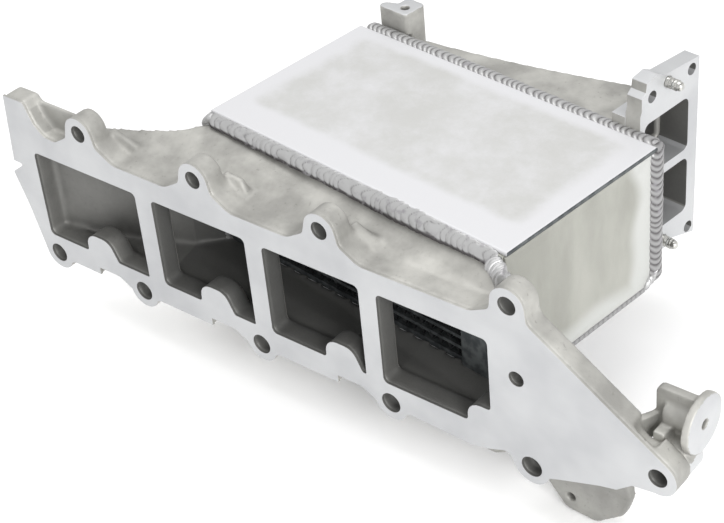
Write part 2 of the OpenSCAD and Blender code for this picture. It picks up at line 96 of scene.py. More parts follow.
# Left and right sides of the ports, and the bolt holes' places and wall radii on the head face
PORTS = ((-164.4, -85.3), (-73.1, -6.3), (5.7, 69.1), (80.4, 147.2))
BOLT_HOLES = (
    *((x, 52.0, 6.2) for x in (-122.5, -37.5, 47.5, 159.5)),
    *((x, -42.0, 7.2) for x in (-161.0, -92.0, -4.0, 84.0, 170.5)),
    (240.4, -13.6, 6.2),
    (163.3, 10.1, 5.0),
)


# ---- colours and nodes


def linear(hex_colour):
    """An sRGB colour such as "#C8C9CA" as linear red, green, blue and alpha."""
    srgb = np.array([int(hex_colour[i : i + 2], 16) for i in (1, 3, 5)]) / 255
    rgb = np.where(srgb <= 0.04045, srgb / 12.92, ((srgb + 0.055) / 1.055) ** 2.4)
    return (*rgb.tolist(), 1.0)


def add(tree, kind, links=None, **values):
    """Adds a shader node: values set its properties or inputs, and links join other nodes' outputs to it."""
    node = tree.nodes.new("ShaderNode" + kind)
    for key, value in values.items():
        if key in node.bl_rna.properties.keys():
            setattr(node, key, value)
        else:
            node.inputs[key.replace("_", " ")].default_value = value
    for key, socket in (links or {}).items():
        tree.links.new(socket, node.inputs[key])
    return node


def blank(name):
    """An empty material, its node tree and its Object coordinates, ready for a surface."""
    material = bpy.data.materials.new(name)
    material.use_nodes = True
    tree = material.node_tree
    tree.nodes.clear()
    return material, tree, add(tree, "TexCoord").outputs["Object"]


def grain(tree, space, scale, stretch=(1.0, 1.0, 1.0), detail=3.0, roughness=0.55):
    """Noise on Object coordinates, squeezed by a factor along each axis. scale is features per metre."""
    vector = add(tree, "Mapping", {"Vector": space}, Scale=stretch).outputs["Vector"]
    noise = add(tree, "TexNoise", {"Vector": vector}, Scale=scale, Detail=detail, Roughness=roughness)
    return noise.outputs["Fac"]


def ramp(tree, factor, low, high, colour_low, colour_high):
    """Mixes two colours as factor goes from low to high."""
    limits = {"From_Min": low, "From_Max": high}
    span = add(tree, "MapRange", {"Value": factor}, interpolation_type="SMOOTHSTEP", **limits)
    mix = add(tree, "Mix", {"Factor": span.outputs["Result"]}, data_type="RGBA")
    for index, colour in ((6, colour_low), (7, colour_high)):
        if hasattr(colour, "is_linked"):
            tree.links.new(colour, mix.inputs[index])
        else:
            mix.inputs[index].default_value = colour
    return mix.outputs[2]


def tint(tree, shade, attribute, colour):
    """Mixes a colour in as the mesh's attribute of that name goes from 0 to 1."""
    share = add(tree, "Attribute", attribute_name=attribute).outputs["Fac"]
    return ramp(tree, share, 0.0, 1.0, shade, colour)


def spread(tree, factor, low, high):
    """Maps a 0 to 1 factor onto the range low to high."""
    return add(tree, "MapRange", {"Value": factor}, To_Min=low, To_Max=high).outputs["Result"]


def metal_surface(tree, colour, roughness, metallic, bump_height, bump_depth, bump_strength):
    """A Principled metal with a colour, a roughness pattern and a bump of the given depth in millimetres."""
    bump = add(tree, "Bump", {"Height": bump_height}, Strength=bump_strength, Distance=bump_depth * MM)
    links = {"Base Color": colour, "Roughness": roughness, "Normal": bump.outputs["Normal"]}
    shader = add(tree, "BsdfPrincipled", links, Metallic=metallic)
    add(tree, "OutputMaterial", {"Surface": shader.outputs["BSDF"]})


def milled_aluminium(colours):
    """Cast aluminium face-milled flat: pale and even, with faint straight cutter lines about 1 mm apart.
    The real lines are 0.2 mm apart, too fine to show, so they are drawn coarser."""
    material, tree, space = blank("Face-milled aluminium")
    lines = grain(tree, space, 900.0, stretch=(0.05, 1.0, 1.0))
    clouds = grain(tree, space, 22.0)
    shade = ramp(tree, clouds, 0.3, 0.7, colours.milled_low, colours.milled_high)
    metal_surface(tree, shade, spread(tree, lines, 0.4, 0.54), 0.5, lines, 0.05, 0.25)
    return material


def cast_aluminium(colours):
    """Sand-cast aluminium, blasted: warm mid grey with a 1 mm grain, soft mottling, straw-coloured heat tint
    near the welds and painted shade inside the air way, its ports and holes. Attributes heat and inside say
    where."""
    material, tree, space = blank("Blasted sand-cast aluminium")
    sand = grain(tree, space, 950.0, detail=4.0, roughness=0.6)
    clouds = grain(tree, space, 35.0, detail=4.0)
    speckle = grain(tree, space, 420.0, detail=2.0)
    body = ramp(tree, clouds, 0.3, 0.72, colours.cast_low, colours.cast_high)
    body = ramp(tree, speckle, 0.62, 0.9, body, colours.cast_speck)
    body = tint(tree, body, "heat", colours.heat_tint)
    # Painted shade: attribute inside mixes in the dark air-way colour
    body = tint(tree, body, "inside", colours.inside)
    metal_surface(tree, body, spread(tree, speckle, 0.48, 0.68), 0.55, sand, 0.12, 0.5)
    return material


def blasted_sheet(colours):
    """Bead-blasted aluminium sheet with a duller patch left by handling. Attribute stain says where.
    Blasting gives a fine even frosting with no direction."""
    material, tree, space = blank("Bead-blasted aluminium sheet")
    frost = grain(tree, space, 1100.0)
    clouds = grain(tree, space, 42.0, detail=8.0, roughness=0.75)
    stain = add(tree, "Attribute", attribute_name="stain").outputs["Fac"]
    spot = add(tree, "Math", {0: stain, 1: clouds}, operation="MULTIPLY").outputs["Value"]
    shade = ramp(tree, spot, 0.1, 0.6, colours.sheet, colours.sheet_stain)
    metal_surface(tree, shade, spread(tree, frost, 0.5, 0.66), 0.35, frost, 0.04, 0.2)
    return material


def rolled_sheet(colours):
    """Rolled aluminium sheet, lightly blasted, with vertical streaks. Attributes heat and rim say where it
    has a straw tint and a paler border, which is a painted highlight."""
    material, tree, space = blank("Rolled aluminium sheet")
    streaks = grain(tree, space, 32.0, stretch=(1.0, 1.0, 0.35), detail=5.0)
    frost = grain(tree, space, 1000.0)
    shade = ramp(tree, streaks, 0.3, 0.7, colours.side_low, colours.side_high)
    shade = tint(tree, shade, "heat", colours.heat_tint)
    # Painted highlight on the pressed border round the dish
    shade = tint(tree, shade, "rim", colours.side_rim_highlight)
    metal_surface(tree, shade, spread(tree, frost, 0.46, 0.6), 0.5, frost, 0.05, 0.3)
    return material


def weld_metal(colours):
    """TIG-welded aluminium: bright ripple crests and darker purple-grey oxide in the creases.
    Attribute crest is 0 in a crease and 1 on a crest, and heat is 1 where the bead is straw-coloured."""
    material, tree, space = blank("TIG weld bead")
    crest = add(tree, "Attribute", attribute_name="crest").outputs["Fac"]
    clouds = grain(tree, space, 210.0, detail=5.0)
    shade = ramp(tree, crest, 0.05, 0.75, colours.weld_crease, colours.weld_crest)
    shade = ramp(tree, clouds, 0.52, 0.75, shade, colours.weld_tint)
    shade = tint(tree, shade, "heat", colours.heat_tint)
    metal_surface(tree, shade, spread(tree, clouds, 0.3, 0.5), 0.6, clouds, 0.2, 0.5)
    return material


def core_metal(name, low, high, roughness):
    """Brazed core sheet seen down the air way: dull aluminium painted dark for the shade deep in the air way,
    with a light oil film.
    """
    material, tree, space = blank(name)
    film = grain(tree, space, 180.0)
    shade = ramp(tree, film, 0.35, 0.65, low, high)
    metal_surface(tree, shade, spread(tree, film, roughness, roughness + 0.15), 0.8, film, 0.05, 0.2)
    return material


def ground_steel(colours):
    """Ground dowel steel: bright, with fine rings round the pin about 0.3 mm apart."""
    material, tree, space = blank("Ground dowel steel")
    rings = grain(tree, space, 1800.0, stretch=(1.0, 0.1, 0.1))
    shade = ramp(tree, rings, 0.3, 0.7, colours.steel_low, colours.steel_high)
    metal_surface(tree, shade, spread(tree, rings, 0.16, 0.28), 1.0, rings, 0.01, 0.2)
    return material


# ---- mesh code


def tilt(points, yaw=COOLER_YAW):
    """Points of the cooler's own frame turned by its yaw about the vertical into the head face's frame."""
    c, s = math.cos(yaw), math.sin(yaw)
    x, y, z = points[..., 0], points[..., 1], points[..., 2]
    return np.stack([x * c - y * s, x * s + y * c, z], axis=-1)


def untilt(points):
    """Points of the head face's frame turned back into the cooler's own frame."""
    return tilt(points, -COOLER_YAW)


def place(name, mesh, kinds, nodes=()):
    """Links a mesh as a piece of the manifold, with its kinds of metal. It stands for some CAD nodes."""
    piece = bpy.data.objects.new(name, mesh)
    bpy.context.scene.collection.objects.link(piece)
    for kind in kinds:
        mesh.materials.append(metal(kind))
    mesh.polygons.foreach_set("use_smooth", np.ones(len(mesh.polygons), bool))
    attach(piece, "root")
    if nodes:
        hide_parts(*nodes)
    return piece


def place_copy(name, node, kinds):
    """Places a merged copy of one CAD node as the piece that stands for it."""
    return place(name, merged_copy(name, node), kinds, (node,))


def mesh_of(name, points, faces):
    """A mesh from points in millimetres and faces, with its normals made to point outwards."""
    mesh = bpy.data.meshes.new(name)
    mesh.from_pydata((points.reshape(-1, 3) * MM).tolist(), [], faces)
    shell = bmesh.new()
    shell.from_mesh(mesh)
    bmesh.ops.recalc_face_normals(shell, faces=shell.faces)
    shell.to_mesh(mesh)
    shell.free()
    return mesh


def ring_faces(rows, columns, closed_rows=False):
    """Quads of a grid whose columns wrap round. Its first and last rows get an end face each, or join up."""
    index = np.arange(rows * columns).reshape(rows, columns)
    here = index if closed_rows else index[:-1]
    ahead = np.roll(index, -1, axis=0) if closed_rows else index[1:]
    quads = np.stack([here, ahead, np.roll(ahead, -1, axis=1), np.roll(here, -1, axis=1)], axis=-1)
    faces = quads.reshape(-1, 4).tolist()
    if not closed_rows:
        faces += [index[0].tolist(), index[-1][::-1].tolist()]
    return faces


def merged_copy(name, node):
    """A copy of a CAD node's mesh, with doubles merged and flat triangles joined into larger faces."""
    shell = bmesh.new()
    shell.from_mesh(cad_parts[node].data)
    bmesh.ops.remove_doubles(shell, verts=shell.verts, dist=SAME_PLACE)
    bmesh.ops.dissolve_limit(shell, angle_limit=SAME_PLANE, verts=shell.verts, edges=shell.edges)
    mesh = bpy.data.meshes.new(name)
    shell.to_mesh(mesh)
    shell.free()
    return mesh


def vectors(items, key):
    """One vector of each vertex or face of a mesh, as an array."""
    flat = np.empty(len(items) * 3, np.float32)
    items.foreach_get(key, flat)
    return flat.reshape(-1, 3)


def coordinates(mesh):
    """A mesh's vertices as an array in millimetres."""
    return vectors(mesh.vertices, "co").astype(float) / MM


def move(mesh, points):
    """Writes points in millimetres back to a mesh."""
    mesh.vertices.foreach_set("co", (points * MM).astype(np.float32).ravel())
    mesh.update()


def note(mesh, name, values):
    """Keeps one number from 0 to 1 for each vertex, for a material to read."""
    layer = mesh.attributes.get(name) or mesh.attributes.new(name, "FLOAT", "POINT")
    layer.data.foreach_set("value", np.clip(values, 0, 1).astype(np.float32))


def glow(points, spots):
    """Sum of round spots: each is (x, y, z, radius, strength) and falls off as a bell curve."""
    total = np.zeros(len(points))
    for x, y, z, radius, strength in spots:
        distance = np.linalg.norm(points - np.array([x, y, z]), axis=1)
        total = total + strength * np.exp(-((distance / radius) ** 2))
    return total


def bmesh_cut(mesh, cuts):
    """Cuts a mesh by evenly spaced planes across the cooler, so that its long faces can bend."""
    shell = bmesh.new()
    shell.from_mesh(mesh)
    across = tilt(np.array([1.0, 0.0, 0.0]))
    for x in np.linspace(-73, 103, cuts + 2)[1:-1]:
        geometry = [*shell.verts, *shell.edges, *shell.faces]
        point = tilt(np.array([x, 0.0, 0.0])) * MM
        bmesh.ops.bisect_plane(
            shell, geom=geometry, dist=1e-7, plane_co=point.tolist(), plane_no=across.tolist()
        )
    shell.to_mesh(mesh)
    shell.free()


def edge_break(piece, width):
    """Rounds a piece's edges by a width in millimetres and keeps its flat faces flat."""
    bevel = piece.modifiers.new("Edge break", "BEVEL")
    bevel.width = width * MM
    bevel.segments = 2
    bevel.limit_method = "ANGLE"
    bevel.angle_limit = math.radians(35)
    bevel.use_clamp_overlap = True
    normals = piece.modifiers.new("Flat faces", "WEIGHTED_NORMAL")
    normals.weight = 80


def cast_form(piece, voxel, rounds):
    """Turns a piece into one cast skin: it is remeshed with cells of a size in millimetres and smoothed,
    which leaves a fillet in each inside corner and a radius on each edge. The result is applied."""
    remesh = piece.modifiers.new("Cast skin", "REMESH")
    remesh.mode = "VOXEL"
    remesh.voxel_size = voxel * MM
    smooth = piece.modifiers.new("Fillets", "SMOOTH")
    smooth.factor = 0.5
    smooth.iterations = rounds
    bpy.context.view_layer.update()
    graph = bpy.context.evaluated_depsgraph_get()
    skin = bpy.data.meshes.new_from_object(piece.evaluated_get(graph))
    old = piece.data
    materials = list(old.materials)
    piece.modifiers.clear()
    piece.data = skin
    skin.materials.clear()
    for material in materials:
        skin.materials.append(material)
    skin.polygons.foreach_set("use_smooth", np.ones(len(skin.polygons), bool))
    bpy.data.meshes.remove(old)


def face_centres(mesh):
    """The middle of each face of a mesh, in millimetres, and its normal."""
    return vectors(mesh.polygons, "center") / MM, vectors(mesh.polygons, "normal")


def facing(mesh):
    """The normal of each face of a mesh in the cooler's own frame."""
    return untilt(vectors(mesh.polygons, "normal").astype(float))


def vertex_normals(mesh):
    """The normal at each vertex of a mesh."""
    return vectors(mesh.vertices, "normal").astype(float)


def finish_faces(mesh, chosen):
    """Gives the chosen faces the piece's second material."""
    mesh.polygons.foreach_set("material_index", chosen.astype(np.int32))


def wave(seed, values, wavelength):
    """Smooth seeded variation from -1 to 1 along values: three sines with random phases."""
    phases = np.random.default_rng(seed).uniform(0, 2 * math.pi, 3)
    angles = 2 * math.pi * values / wavelength
    slow = np.sin(angles + phases[0])
    return (slow + 0.6 * np.sin(1.7 * angles + phases[1]) + 0.4 * np.sin(3.1 * angles + phases[2])) / 2


def bead(
    name, path, side, out, half_width, height, pitch, lag, depth, seed,
    even, bright, irregular, sink=2.0, shade=0.0,
):
    """A weld bead: a flattened tube along a path. side runs across it and out points away from the metal.
    Its top is an arch of the given height, cut by ripples one pitch apart. A ripple is a power of a sine, so
    creases are sharp and crests round, and its edges lag behind its middle, which gives a crescent. Both
    ends close in a quarter circle. even and bright are the brightness of a crease and a crest, irregular
    adds slow seeded swelling, sink is the depth below the path, and shade darkens the bead's lower edge."""
    steps = np.linalg.norm(np.diff(path, axis=0), axis=1)
    run = np.concatenate([[0], np.cumsum(steps)])
    count = max(int(run[-1] / pitch * RINGS_PER_RIPPLE), 24)
    along = np.linspace(0, run[-1], count)
    centre, across, up = (
        np.stack([np.interp(along, run, values[:, axis]) for axis in range(3)], axis=-1)
        for values in (path, side, out)
    )
    across /= np.linalg.norm(across, axis=1)[:, None]
    up /= np.linalg.norm(up, axis=1)[:, None]
    wide = np.interp(along, run, half_width)
    tall = np.interp(along, run, height)
    end = np.clip(np.minimum(along, run[-1] - along) / (0.8 * wide), 0, 1)
    close = np.sqrt(np.clip(1 - (1 - end) ** 2, 0.0004, 1))[:, None]
    turn = np.linspace(0, 2 * math.pi, 33)[:-1]
    cosine, sine = np.cos(turn)[None, :], np.sin(turn)[None, :]
    jitter = wave(seed, along, 9 * pitch)[:, None] * irregular
    phase = (along[:, None] - lag * cosine**2 + jitter * pitch) / pitch
    ripple = np.abs(np.sin(math.pi * phase)) ** CREST_POWER
    swell = 1 + irregular * 0.35 * wave(seed + 1, along, 23.0)[:, None]
    top = sine > 0
    arch = np.where(top, np.abs(sine) ** 0.85 * tall[:, None] * swell, -np.abs(sine) * sink)
    arch = arch + np.where(top, depth * (ripple - 0.7), 0) * close
    spill = 0.06 * irregular * wave(seed + 2, along, 15.0)[:, None]
    reach = cosine * wide[:, None] * (1 + 0.05 * (ripple - 0.6) + spill)
    section = across[:, None, :] * reach[..., None] + up[:, None, :] * arch[..., None]
    points = centre[:, None, :] + section * close[:, None]
    mesh = mesh_of(name, points, ring_faces(count, len(turn)))
    edge = 1 - shade * np.clip((-cosine - 0.5) / 0.3, 0, 1)
    note(mesh, "crest", ((even + (bright - even) * ripple) * edge).ravel())
    return mesh


def straight(start, finish, count=24):
    """Evenly spaced points on the line between two points."""
    t = np.linspace(0, 1, count)[:, None]
    return np.array(start, float) * (1 - t) + np.array(finish, float) * t


def ridge(start, finish, width, drop):
    """A closed bar whose crest joins two points: width is its size front to back and drop its depth."""
    points = []
    for end in (start, finish):
        for shift, height, spread_out in ((-1, 0, 0.6), (1, 0, 0.6), (1, -drop, 1.2), (-1, -drop, 1.2)):
            points.append(np.array(end, float) + np.array([0, shift * width / 2 * spread_out, height]))
    sides = [(i, i + 4, (i + 1) % 4 + 4, (i + 1) % 4) for i in range(4)]
    faces = [(0, 1, 2, 3), (7, 6, 5, 4), *sides]
    return mesh_of("ridge", np.array(points), faces)


def crowned_slab(name, low, high, base, rise, lines, turn_up):
    """A closed slab on a rectangle: a grid of heights over its plan, a skirt to the base and a flat bottom.
    rise(u, v) is the height at distances from the low corner, and turn_up maps plan and height to space.
    Gives the mesh, the grid's distances and the number of points round the bottom."""
    u = np.linspace(0, 1, lines[0])
    v = np.linspace(0, 1, lines[1])
    # Grid lines gather near the edges, where the surface bends: half a cosine wave
    u, v = ((1 - np.cos(math.pi * t)) / 2 for t in (u, v))
    across, deep = np.meshgrid(u * (high[0] - low[0]), v * (high[1] - low[1]), indexing="ij")
    top = np.stack([across + low[0], deep + low[1], rise(across, deep)], axis=-1)
    index = np.arange(top.shape[0] * top.shape[1]).reshape(top.shape[:2])
    rim = np.concatenate([index[:-1, 0], index[-1, :-1], index[:0:-1, -1], index[0, :0:-1]])
    floor_points = top.reshape(-1, 3)[rim].copy()
    floor_points[:, 2] = base
    quads = np.stack([index[:-1, :-1], index[1:, :-1], index[1:, 1:], index[:-1, 1:]], axis=-1).reshape(-1, 4)
    lower = np.arange(len(rim)) + top.shape[0] * top.shape[1]
    skirt = np.stack([rim, lower, np.roll(lower, -1), np.roll(rim, -1)], axis=-1)
    faces = quads.tolist() + skirt.tolist() + [lower[::-1].tolist()]
    points = turn_up(np.concatenate([top.reshape(-1, 3), floor_points]))
    return mesh_of(name, points, faces), across, deep, len(rim)


def lathe(name, centre, axis, profile):
    """A turned piece: a profile of (distance along the axis, radius) carried round a level axis."""
    axis = np.array(axis, float) / np.linalg.norm(axis)
    first = np.cross(axis, np.array([0.0, 0.0, 1.0]))
    first /= np.linalg.norm(first)
    second = np.cross(axis, first)
    turn = np.linspace(0, 2 * math.pi, 41)[:-1]
    circle = np.cos(turn)[:, None] * first + np.sin(turn)[:, None] * second
    profile = np.array(profile, float)
    points = np.array(centre) + profile[:, 0, None, None] * axis + profile[:, 1, None, None] * circle[None]
    return mesh_of(name, points, ring_faces(len(profile), len(turn)))


# ---- sizes and colours


def length(name, description, default):
    """A length property in metres, given in millimetres."""
    return FloatProperty(
        name=name, description=description, default=default * MM, min=0, subtype="DISTANCE", unit="LENGTH"
    )


def colour(name, description, default):
    """A colour property, given as an sRGB hex value."""
    return FloatVectorProperty(
        name=name, description=description, default=linear(default), size=4, subtype="COLOR", min=0, max=1
    )


class ManifoldSizes(bpy.types.PropertyGroup):
    """Sizes of the finished surfaces."""

    face_skin: length("Milled skin", "Thickness of the milled skin on the head flange", 1.6)
    edge: length("Edge break", "Radius left on machined edges", 0.35)
    cast_cell: length("Cast detail", "Cell size of the large castings", 1.25)
    fine_cell: length("Fine cast detail", "Cell size of the brackets and lugs", 0.75)
    cast_rounds: IntProperty(
        name="Cast fillets", description="How far the castings' corners are rounded", default=5, min=1
    )
    front_pitch: length("Front ripple pitch", "Distance between ripples of the front bead", 5.2)
    rear_pitch: length("Rear ripple pitch", "Distance between ripples of the rear bead", 3.9)
    ripple: length("Ripple depth", "Depth of the creases between ripples", 0.75)
    dish: length("Side dish", "Depth of the dish in the cooler's side", 0.8)


class ManifoldColours(bpy.types.PropertyGroup):
    """Colours of the finishes."""

    milled_low: colour("Milled, darker", "Milled aluminium, darker areas", "#B1B2B4")
    milled_high: colour("Milled, lighter", "Milled aluminium, lighter areas", "#BFC0C1")
    cast_low: colour("Cast, darker", "Cast aluminium, darker areas", "#94938F")
    cast_high: colour("Cast, lighter", "Cast aluminium, lighter areas", "#BBBAB5")
    cast_speck: colour("Cast specks", "Pits and specks of the cast skin", "#858480")
    heat_tint: colour("Heat tint", "Straw colour left by the welding heat", "#C9C4A4")
    # Painted shade: this colour darkens the air way, the ports, the holes and the lower lug
    inside: colour("Inside", "Cast skin inside the air way", "#636361")
    sheet: colour("Top sheet", "Blasted sheet of the cooler's top", "#CDCDCF")
    sheet_stain: colour("Sheet patch", "Duller patch of the cooler's top", "#BBBBB9")
    side_low: colour("Side, darker", "Side sheet in its darker streaks", "#999992")
    side_high: colour("Side, lighter", "Side sheet in its lighter streaks", "#ADADA6")
    # Painted highlight of the pressed border round the side's dish
    side_rim_highlight: colour("Side, rim", "Side sheet round its dish", "#C1C2BF")
    weld_crease: colour("Weld crease", "Oxide in the creases of the beads", "#4D4A4B")
    weld_crest: colour("Weld crest", "Bright crests of the beads", "#B0B0B0")
    weld_tint: colour("Weld tint", "Purple-grey tint on parts of the beads", "#979598")
    # Painted shade: the core's colours are much darker than its metal, for the shade deep in the air way
    shaded_fin_low: colour("Fins, darker", "Air fins, darker areas", "#2E2F30")
    shaded_fin_high: colour("Fins, lighter", "Air fins, lighter areas", "#4A4C4D")
    shaded_tube_low: colour("Tubes, darker", "Coolant tubes, darker areas", "#4C5052")
    shaded_tube_high: colour("Tubes, lighter", "Coolant tubes, lighter areas", "#6B6F70")
    steel_low: colour("Steel, darker", "Dowel steel in its darker rings", "#A9A9A6")
    steel_high: colour("Steel, lighter", "Dowel steel in its lighter rings", "#D8D7D2")
    floor: colour("Floor", "Plain studio floor", "#FBFBFB")


def sizes():
    """The sizes set in the scene's panel."""
    return bpy.context.scene.manifold_sizes


def palette():
    """The colours set in the scene's panel."""
    return bpy.context.scene.manifold_colours


MAKERS = {
    "milled": milled_aluminium,
    "cast": cast_aluminium,
    "sheet": blasted_sheet,
    "side": rolled_sheet,
    "weld": weld_metal,
    "fins": lambda c: core_metal("Brazed fin sheet", c.shaded_fin_low, c.shaded_fin_high, 0.5),
    "tubes": lambda c: core_metal("Brazed tube sheet", c.shaded_tube_low, c.shaded_tube_high, 0.4),
    "steel": ground_steel,
}
made = {}


def metal(kind):
    """The material of that kind, made at its first use."""
    if kind not in made:
        made[kind] = MAKERS[kind](palette())
    return made[kind]


# ---- pieces


class MANIFOLD_OT_head_casting(bpy.types.Operator):
    """Cast body of the head flange and the plenum, in one skin with fillets"""

    bl_idname = "manifold.head_casting"
    bl_label = "Head casting"

    def execute(self, context):
        mesh = merged_copy("head_casting", "head_flange")
        points = coordinates(mesh)
        # The cast body starts just behind the milled face
        points[:, 1] = np.maximum(points[:, 1], 0.7)
        move(mesh, points)
        plenum = merged_copy("plenum_copy", "outlet_plenum")
        points = coordinates(plenum)
        # The plenum reaches into the flange and into the cooler, so that no cut edge shows
        points[:, 1] = np.where(points[:, 1] < 14, points[:, 1] - 1.5, points[:, 1])
        local = untilt(points)
        local[:, 1] += np.where(local[:, 1] > 41.0, 2.6, 0)
        # The roof's back edge is drawn up under the weld bead, most at its right-hand end
        rise = np.where(local[:, 0] > 0, 4.6, 1.4)
        local[:, 2] += np.where((local[:, 1] > 41.0) & (local[:, 2] > 40), rise, 0)
        move(plenum, tilt(local))
        both = bmesh.new()
        both.from_mesh(mesh)
        both.from_mesh(plenum)
        for start, finish, width, drop in BOSS_TAILS:
            tail = ridge(start, finish, width, drop)
            both.from_mesh(tail)
            bpy.data.meshes.remove(tail)
        both.to_mesh(mesh)
        both.free()
        bpy.data.meshes.remove(plenum)
        nodes = ("head_flange", "outlet_plenum")
        piece = place("head_casting", mesh, ("cast",), nodes)
        cast_form(piece, sizes().cast_cell / MM, sizes().cast_rounds)
        points = coordinates(piece.data)
        spots = [
            (-37.5, 14, 54, 10, 1.0),
            (-20, 17, 46, 9, 0.8),
            (47.5, 14, 54, 10, 1.0),
            (64, 18, 46, 12, 0.7),
            (159.5, 14, 54, 12, 1.0),
            (-122.5, 12, 58, 10, 0.5),
            (-105, 18, 46, 11, 0.4),
            (140, 33, 44, 22, 0.7),
        ]
        slope = np.linspace(0, 1, 7)[:, None]
        for x, z in np.array([172, 44]) * (1 - slope) + np.array([236, -2]) * slope:
            spots.append((x, 9, z, 11, 0.55))
        note(piece.data, "heat", glow(points, spots))
        # Painted shade inside the plenum, the ports and the bolt holes
        note(piece.data, "inside", plenum_shade(points, vertex_normals(piece.data)))
        return {"FINISHED"}


def plenum_shade(points, normals):
    """Share of painted shade at each point, 0 outside and 1 at the core. In the flange it is the inside
    of the ports and bolt holes. Behind the flange it is the skin whose normal looks into the plenum: down
    from the roof, up from the floor and forwards from the side walls, which both slant."""
    x, y, z = points.T
    left = np.interp(y, [13.5, 29, 38.5, 49.2], [-169, -116, -86, -74])
    right = np.interp(y, [13.5, 26.3], [157.0, 141.5])
    within = (y > 12.4) & (x > left) & (x < right) & (np.abs(z - 6) < 43)
    ny, nz = normals[:, 1], normals[:, 2]
    skin = np.where(np.abs(nz) > 0.45, nz * (z - 5) < 0, (ny < -0.15) & (z < 39))
    throat = np.zeros(len(x), bool)
    for low, high in PORTS:
        port = (x > low - 1.2) & (x < high + 1.2) & (z > -32.2) & (z < 28.7)
        throat |= port & (y > 0.4) & (y <= 12.4)
    # The painted shade grows darker deeper in and towards the middle ports
    deep = np.where(x < -80, 0.6, np.where(x > 80, 0.7, 0.8)) + 0.2 * np.clip((y - 2) / 26, 0, 1)
    # Painted shade in the recess at the top of the flange's left end
    pocket_shade = 0.35 * ((y > 2.5) & (y < 11) & (x > -163) & (x < -134) & (z > 41) & (z < 56))
    return np.maximum(np.where((within & skin) | throat, deep, pocket_shade), bolt_hole_shade(points))


def bolt_hole_shade(points):
    """Share of painted shade for points on the wall of a bolt hole through the flange, 0 elsewhere."""
    x, y, z = points.T
    found = np.zeros(len(x))
    for hole_x, hole_z, radius in BOLT_HOLES:
        found = np.where(np.hypot(x - hole_x, z - hole_z) < radius, HOLE_SHADE, found)
    return np.where((y > 0.3) & (y < 13.2), found, 0)


class MANIFOLD_OT_milled_face(bpy.types.Operator):
    """Milled skin on the head flange, with crisp edges round each port and hole"""

    bl_idname = "manifold.milled_face"
    bl_label = "Milled face"

    def execute(self, context):
        shell = bmesh.new()
        shell.from_mesh(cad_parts["head_flange"].data)
        bmesh.ops.remove_doubles(shell, verts=shell.verts, dist=SAME_PLACE)
        behind = [f for f in shell.faces if max(v.co.y for v in f.verts) > 0.01 * MM]
        bmesh.ops.delete(shell, geom=behind, context="FACES")
        bmesh.ops.dissolve_limit(shell, angle_limit=SAME_PLANE, verts=shell.verts, edges=shell.edges)
        mesh = bpy.data.meshes.new("milled_face")
        shell.to_mesh(mesh)
        shell.free()
        points = coordinates(mesh)
        x, _, z = points.T
        # The skin's points lie on the face, so the holes are looked up five millimetres behind it
        shaded_holes = bolt_hole_shade(points + np.array([0.0, 5.0, 0.0])) > 0
        for low, high in PORTS:
            shaded_holes |= (x > low - 1) & (x < high + 1) & (np.abs(z + 2) < 31)
        # Painted shade on the skin's cast rim inside the ports and holes
        note(mesh, "inside", HOLE_SHADE * shaded_holes)
        piece = place("milled_face", mesh, ("milled", "cast"))
        skin = piece.modifiers.new("Skin", "SOLIDIFY")
        skin.thickness = sizes().face_skin
        skin.offset = -1
        skin.material_offset_rim = 1
        edge_break(piece, sizes().edge / MM)
        return {"FINISHED"}


class MANIFOLD_OT_brackets(bpy.types.Operator):
    """End bracket with its round pad, and the two lugs below the flange"""

    bl_idname = "manifold.brackets"
    bl_label = "Bracket and lugs"

    def execute(self, context):
        for node, foot, dark in (
            ("end_bracket", 12.4, 0.0),
            ("lower_lug", 12.8, LUG_SHADE),
            ("small_lug", 12.8, 0.0),
        ):
            mesh = merged_copy(node + "_casting", node)
            points = coordinates(mesh)
            # The foot reaches into the flange, out of sight
            points[:, 1] = np.where(np.abs(points[:, 1] - FLANGE_BACK) < 0.05, foot, points[:, 1])
            move(mesh, points)
            piece = place(node + "_casting", mesh, ("cast", "milled"), (node,))
            cast_form(piece, sizes().fine_cell / MM, BRACKET_ROUNDS)
            skin = piece.data
            centre, normal = face_centres(skin)
            finish_faces(skin, (centre[:, 0] > 249.3) & (normal[:, 0] > 0.95))
            # Painted shade: the lower lug, which faces down under the flange, is darkened by the air way's
            # colour
            note(skin, "inside", np.full(len(skin.vertices), dark))
        return {"FINISHED"}


